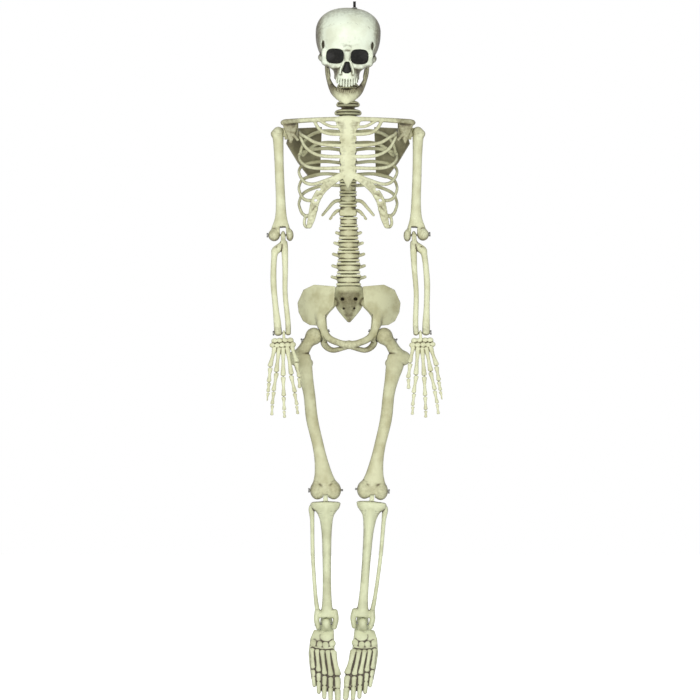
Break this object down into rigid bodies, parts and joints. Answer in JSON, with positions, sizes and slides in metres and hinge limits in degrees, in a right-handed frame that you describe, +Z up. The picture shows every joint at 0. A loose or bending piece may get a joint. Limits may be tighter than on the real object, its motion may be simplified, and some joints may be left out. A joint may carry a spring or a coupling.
{
  "type": "skeleton_figure",
  "caption": "Hanging skeleton figure: moulded bones on screw joints, with skull, jaw, ribs, pelvis, arms and legs that turn",
  "frame": {"origin": "Centre of the hanging eye's bore, above the crown of the skull.", "axes": "+Z up along the hanging figure; the front faces -Y; +X to the figure's own left, along the eye's bore."},
  "size_m": [0.3852, 0.24, 1.5482],
  "materials": {
    "aged_bone": "moulded_with_brown_wash",
    "pale_bone": "moulded_with_brown_wash",
    "dark_bone": "moulded_with_dark_wash",
    "black_plastic": "smooth",
    "zinc_steel": "zinc_plated"
  },
  "bodies": {
    "skull": {"hanging_eye": "black_plastic", "hanging_eye_washer": "zinc_steel", "hanging_eye_nut": "zinc_steel", "skull_front": "pale_bone", "skull_rear": "pale_bone", "eye_socket_liners": "black_plastic", "nose_liner": "black_plastic", "jaw_hinge_screws": "zinc_steel", "nod_screw": "zinc_steel"},
    "jaw": {"jaw": "pale_bone"},
    "atlas": {"atlas_block": "aged_bone", "neck_turn_screw": "zinc_steel"},
    "torso": {"neck_column": "aged_bone", "rib_cage_front": "aged_bone", "rib_cage_rear": "aged_bone", "rib_cage_screws": "zinc_steel", "scapula_left": "dark_bone", "scapula_right": "dark_bone", "shoulder_axle_left": "zinc_steel", "shoulder_axle_right": "zinc_steel", "waist_bolt": "zinc_steel"},
    "hips": {"lumbar_spine": "aged_bone", "lumbar_screws": "zinc_steel", "pelvis": "aged_bone", "hip_bolt_left": "zinc_steel", "hip_bolt_right": "zinc_steel"},
    "shoulder_left": {"shoulder_knuckle_left": "aged_bone"},
    "upper_arm_left": {"humerus_left": "aged_bone", "shoulder_lift_screw_left": "zinc_steel", "elbow_screw_left": "zinc_steel"},
    "lower_arm_left": {"forearm_left": "aged_bone", "wrist_screw_left": "zinc_steel"},
    "hand_left": {"hand_left": "aged_bone"},
    "thigh_left": {"femur_left": "aged_bone", "knee_screw_left": "zinc_steel"},
    "lower_leg_left": {"shin_left": "aged_bone", "ankle_screw_left": "zinc_steel"},
    "foot_left": {"foot_left": "aged_bone"},
    "shoulder_right": {"shoulder_knuckle_right": "aged_bone"},
    "upper_arm_right": {"humerus_right": "aged_bone", "shoulder_lift_screw_right": "zinc_steel", "elbow_screw_right": "zinc_steel"},
    "lower_arm_right": {"forearm_right": "aged_bone", "wrist_screw_right": "zinc_steel"},
    "hand_right": {"hand_right": "aged_bone"},
    "thigh_right": {"femur_right": "aged_bone", "knee_screw_right": "zinc_steel"},
    "lower_leg_right": {"shin_right": "aged_bone", "ankle_screw_right": "zinc_steel"},
    "foot_right": {"foot_right": "aged_bone"}
  },
  "joints": [
    {"name": "jaw_open", "type": "hinge", "parent": "skull", "child": "jaw", "pos_m": [-0.01609, 0.004, -0.12781], "axis": [0.9995, 0, -0.031], "range_deg": [0, 20]},
    {"name": "neck_nod", "type": "hinge", "parent": "skull", "child": "atlas", "pos_m": [-0.0166, 0.014, -0.144], "axis": [0.9995, 0, -0.031], "range_deg": [-10, 10]},
    {"name": "neck_turn", "type": "hinge", "parent": "atlas", "child": "torso", "pos_m": [-0.0166, 0.014, -0.144], "axis": [0.031, 0, 0.9995], "range_deg": [-60, 60]},
    {"name": "waist_twist", "type": "hinge", "parent": "torso", "child": "hips", "pos_m": [-0.0144, 0.038, -0.47], "axis": [0, 0, 1], "range_deg": [-20, 20]},
    {"name": "shoulder_swing_left", "type": "hinge", "parent": "torso", "child": "shoulder_left", "pos_m": [0.1409, 0.008, -0.284], "axis": [-1, 0, 0], "range_deg": [-6, 90]},
    {"name": "shoulder_lift_left", "type": "hinge", "parent": "shoulder_left", "child": "upper_arm_left", "pos_m": [0.1409, 0.008, -0.284], "axis": [0, -0.9781, 0.208], "range_deg": [0, 90]},
    {"name": "elbow_bend_left", "type": "hinge", "parent": "upper_arm_left", "child": "lower_arm_left", "pos_m": [0.13143, -0.04103, -0.51466], "axis": [-0.9982, -0.012, -0.058], "range_deg": [0, 110]},
    {"name": "wrist_bend_left", "type": "hinge", "parent": "lower_arm_left", "child": "hand_left", "pos_m": [0.1446, -0.0871, -0.73142], "axis": [-0.9982, -0.012, -0.058], "range_deg": [-10, 60]},
    {"name": "hip_swing_left", "type": "hinge", "parent": "hips", "child": "thigh_left", "pos_m": [0.0658, -0.004, -0.738], "axis": [-0.9397, 0, 0.3419], "range_deg": [-40, 12]},
    {"name": "knee_bend_left", "type": "hinge", "parent": "thigh_left", "child": "lower_leg_left", "pos_m": [0.04, -0.004, -1.0805], "axis": [0.9972, 0, -0.075], "range_deg": [0, 110]},
    {"name": "ankle_bend_left", "type": "hinge", "parent": "lower_leg_left", "child": "foot_left", "pos_m": [0.01773, -0.004, -1.37666], "axis": [-0.9972, 0, 0.075], "range_deg": [0, 60]},
    {"name": "shoulder_swing_right", "type": "hinge", "parent": "torso", "child": "shoulder_right", "pos_m": [-0.1697, 0.008, -0.284], "axis": [-1, 0, 0], "range_deg": [-6, 90]},
    {"name": "shoulder_lift_right", "type": "hinge", "parent": "shoulder_right", "child": "upper_arm_right", "pos_m": [-0.1697, 0.008, -0.284], "axis": [0, 0.9781, -0.208], "range_deg": [0, 90]},
    {"name": "elbow_bend_right", "type": "hinge", "parent": "upper_arm_right", "child": "lower_arm_right", "pos_m": [-0.15776, -0.041, -0.51455], "axis": [-0.9999, -0.002, -0.011], "range_deg": [0, 110]},
    {"name": "wrist_bend_right", "type": "hinge", "parent": "lower_arm_right", "child": "hand_right", "pos_m": [-0.15524, -0.08716, -0.73168], "axis": [-0.9999, -0.002, -0.011], "range_deg": [-10, 60]},
    {"name": "hip_swing_right", "type": "hinge", "parent": "hips", "child": "thigh_right", "pos_m": [-0.0902, -0.004, -0.738], "axis": [0.9397, 0, 0.3419], "range_deg": [-12, 40]},
    {"name": "knee_bend_right", "type": "hinge", "parent": "thigh_right", "child": "lower_leg_right", "pos_m": [-0.0644, -0.004, -1.0805], "axis": [1, 0, 0.005], "range_deg": [0, 110]},
    {"name": "ankle_bend_right", "type": "hinge", "parent": "lower_leg_right", "child": "foot_right", "pos_m": [-0.06284, -0.004, -1.3775], "axis": [-1, 0, -0.005], "range_deg": [0, 60]}
  ]
}
